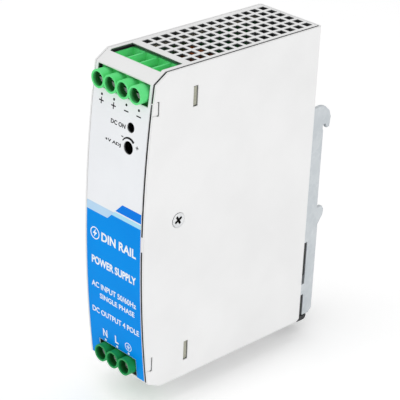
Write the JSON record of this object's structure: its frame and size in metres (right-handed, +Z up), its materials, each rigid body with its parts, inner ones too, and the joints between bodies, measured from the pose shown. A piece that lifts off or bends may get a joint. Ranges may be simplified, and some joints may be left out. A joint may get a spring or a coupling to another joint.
{
  "type": "din rail power supply",
  "caption": "Slim enclosed power supply with a curved front panel, screw terminals top and bottom, a perforated top and a sprung clip for a 35 mm rail.",
  "frame": {"origin": "centre of the rail's front face, where the clip seats on it", "axes": "+Z up, +Y from the front panel towards the rail, +X to the right seen from the front"},
  "size_m": [0.032, 0.1012, 0.131],
  "materials": {
    "painted_case": "satin",
    "printed_label": "satin",
    "green_moulding": "satin",
    "galvanised_steel": "satin",
    "zinc_plated": "bright",
    "nickel_plated": "bright",
    "tinned_copper": "bright",
    "black_moulding": "matte",
    "spring_steel": "bright",
    "circuit_board": "semi-gloss",
    "insulation_film": "satin",
    "trimmer_case": "matte",
    "trimmer_white": "matte",
    "led_lens": "gloss",
    "fuse_case": "matte",
    "thermistor_coat": "matte",
    "varistor_coat": "matte",
    "ferrite": "matte",
    "enamelled_copper": "gloss",
    "film_capacitor": "matte",
    "ceramic_coat": "matte",
    "moulded_epoxy": "matte",
    "can_sleeve": "gloss",
    "sleeve_brown": "gloss",
    "heatsink": "satin",
    "bobbin_plastic": "matte",
    "winding_tape": "satin"
  },
  "bodies": {
    "case": {"side_shell": "painted_case", "front_wrap": "painted_case", "front_label": "printed_label", "side_screws": "zinc_plated", "rail_bracket": "galvanised_steel", "bracket_screws": "zinc_plated", "bracket_nuts": "zinc_plated", "latch_spring": "spring_steel", "output_terminal_housing": "green_moulding", "input_terminal_housing": "green_moulding", "output_contacts": "tinned_copper", "input_contacts": "tinned_copper", "terminal_board": "circuit_board", "board_link_pins": "tinned_copper", "trimmer_body": "trimmer_case", "status_led": "led_lens", "main_board": "circuit_board", "board_standoffs": "zinc_plated", "board_screws": "zinc_plated", "insulation_sheet": "insulation_film", "fuse": "fuse_case", "thermistor": "thermistor_coat", "varistor": "varistor_coat", "choke_core": "ferrite", "choke_windings": "enamelled_copper", "x_capacitor": "film_capacitor", "y_capacitors": "ceramic_coat", "bridge_rectifier": "moulded_epoxy", "bulk_capacitor": "can_sleeve", "primary_heatsink": "heatsink", "power_transistor": "moulded_epoxy", "transformer_core": "ferrite", "transformer_bobbin": "bobbin_plastic", "transformer_windings": "winding_tape", "secondary_heatsink": "heatsink", "output_rectifier": "moulded_epoxy", "heatsink_screws": "zinc_plated", "output_capacitors": "sleeve_brown", "output_choke": "enamelled_copper", "optocoupler": "moulded_epoxy", "controller_chip": "moulded_epoxy"},
    "output_screw_1": {"output_screw_1": "zinc_plated"},
    "output_clamp_1": {"output_clamp_1": "nickel_plated"},
    "output_screw_2": {"output_screw_2": "zinc_plated"},
    "output_clamp_2": {"output_clamp_2": "nickel_plated"},
    "output_screw_3": {"output_screw_3": "zinc_plated"},
    "output_clamp_3": {"output_clamp_3": "nickel_plated"},
    "output_screw_4": {"output_screw_4": "zinc_plated"},
    "output_clamp_4": {"output_clamp_4": "nickel_plated"},
    "input_screw_1": {"input_screw_1": "zinc_plated"},
    "input_clamp_1": {"input_clamp_1": "nickel_plated"},
    "input_screw_2": {"input_screw_2": "zinc_plated"},
    "input_clamp_2": {"input_clamp_2": "nickel_plated"},
    "input_screw_3": {"input_screw_3": "zinc_plated"},
    "input_clamp_3": {"input_clamp_3": "nickel_plated"},
    "trimmer_rotor": {"trimmer_rotor": "trimmer_white"},
    "latch": {"rail_latch": "black_moulding"}
  },
  "joints": [
    {"name": "latch_slide", "type": "slide", "parent": "case", "child": "latch", "axis": [0, 0, -1], "range_m": [0, 0.0035], "stiffness_N_per_m": 2000, "springref_m": -0.004, "deforming": ["latch_spring"]},
    {"name": "trimmer_turn", "type": "hinge", "parent": "case", "child": "trimmer_rotor", "pos_m": [0.0054, -0.0824, 0.0324], "axis": [0, 1, 0], "range_deg": [-135, 135]},
    {"name": "output_screw_1_turn", "type": "hinge", "parent": "case", "child": "output_screw_1", "pos_m": [-0.01015, -0.0884, 0.0536], "axis": [0, 1, 0], "range_deg": [0, 2160]},
    {"name": "output_clamp_1_slide", "type": "slide", "parent": "case", "child": "output_clamp_1", "axis": [0, -1, 0], "range_m": [0, 0.003]},
    {"name": "output_screw_2_turn", "type": "hinge", "parent": "case", "child": "output_screw_2", "pos_m": [-0.00365, -0.0884, 0.0536], "axis": [0, 1, 0], "range_deg": [0, 2160]},
    {"name": "output_clamp_2_slide", "type": "slide", "parent": "case", "child": "output_clamp_2", "axis": [0, -1, 0], "range_m": [0, 0.003]},
    {"name": "output_screw_3_turn", "type": "hinge", "parent": "case", "child": "output_screw_3", "pos_m": [0.00285, -0.0884, 0.0536], "axis": [0, 1, 0], "range_deg": [0, 2160]},
    {"name": "output_clamp_3_slide", "type": "slide", "parent": "case", "child": "output_clamp_3", "axis": [0, -1, 0], "range_m": [0, 0.003]},
    {"name": "output_screw_4_turn", "type": "hinge", "parent": "case", "child": "output_screw_4", "pos_m": [0.00935, -0.0884, 0.0536], "axis": [0, 1, 0], "range_deg": [0, 2160]},
    {"name": "output_clamp_4_slide", "type": "slide", "parent": "case", "child": "output_clamp_4", "axis": [0, -1, 0], "range_m": [0, 0.003]},
    {"name": "input_screw_1_turn", "type": "hinge", "parent": "case", "child": "input_screw_1", "pos_m": [-0.0065, -0.0884, -0.0558], "axis": [0, 1, 0], "range_deg": [0, 2160]},
    {"name": "input_clamp_1_slide", "type": "slide", "parent": "case", "child": "input_clamp_1", "axis": [0, -1, 0], "range_m": [0, 0.003]},
    {"name": "input_screw_2_turn", "type": "hinge", "parent": "case", "child": "input_screw_2", "pos_m": [0, -0.0884, -0.0558], "axis": [0, 1, 0], "range_deg": [0, 2160]},
    {"name": "input_clamp_2_slide", "type": "slide", "parent": "case", "child": "input_clamp_2", "axis": [0, -1, 0], "range_m": [0, 0.003]},
    {"name": "input_screw_3_turn", "type": "hinge", "parent": "case", "child": "input_screw_3", "pos_m": [0.0065, -0.0884, -0.0558], "axis": [0, 1, 0], "range_deg": [0, 2160]},
    {"name": "input_clamp_3_slide", "type": "slide", "parent": "case", "child": "input_clamp_3", "axis": [0, -1, 0], "range_m": [0, 0.003]}
  ],
  "couplings": [
    {"joint": "output_screw_1_turn", "follows": "output_clamp_1_slide", "rad_per_m": 12566},
    {"joint": "output_screw_2_turn", "follows": "output_clamp_2_slide", "rad_per_m": 12566},
    {"joint": "output_screw_3_turn", "follows": "output_clamp_3_slide", "rad_per_m": 12566},
    {"joint": "output_screw_4_turn", "follows": "output_clamp_4_slide", "rad_per_m": 12566},
    {"joint": "input_screw_1_turn", "follows": "input_clamp_1_slide", "rad_per_m": 12566},
    {"joint": "input_screw_2_turn", "follows": "input_clamp_2_slide", "rad_per_m": 12566},
    {"joint": "input_screw_3_turn", "follows": "input_clamp_3_slide", "rad_per_m": 12566}
  ]
}
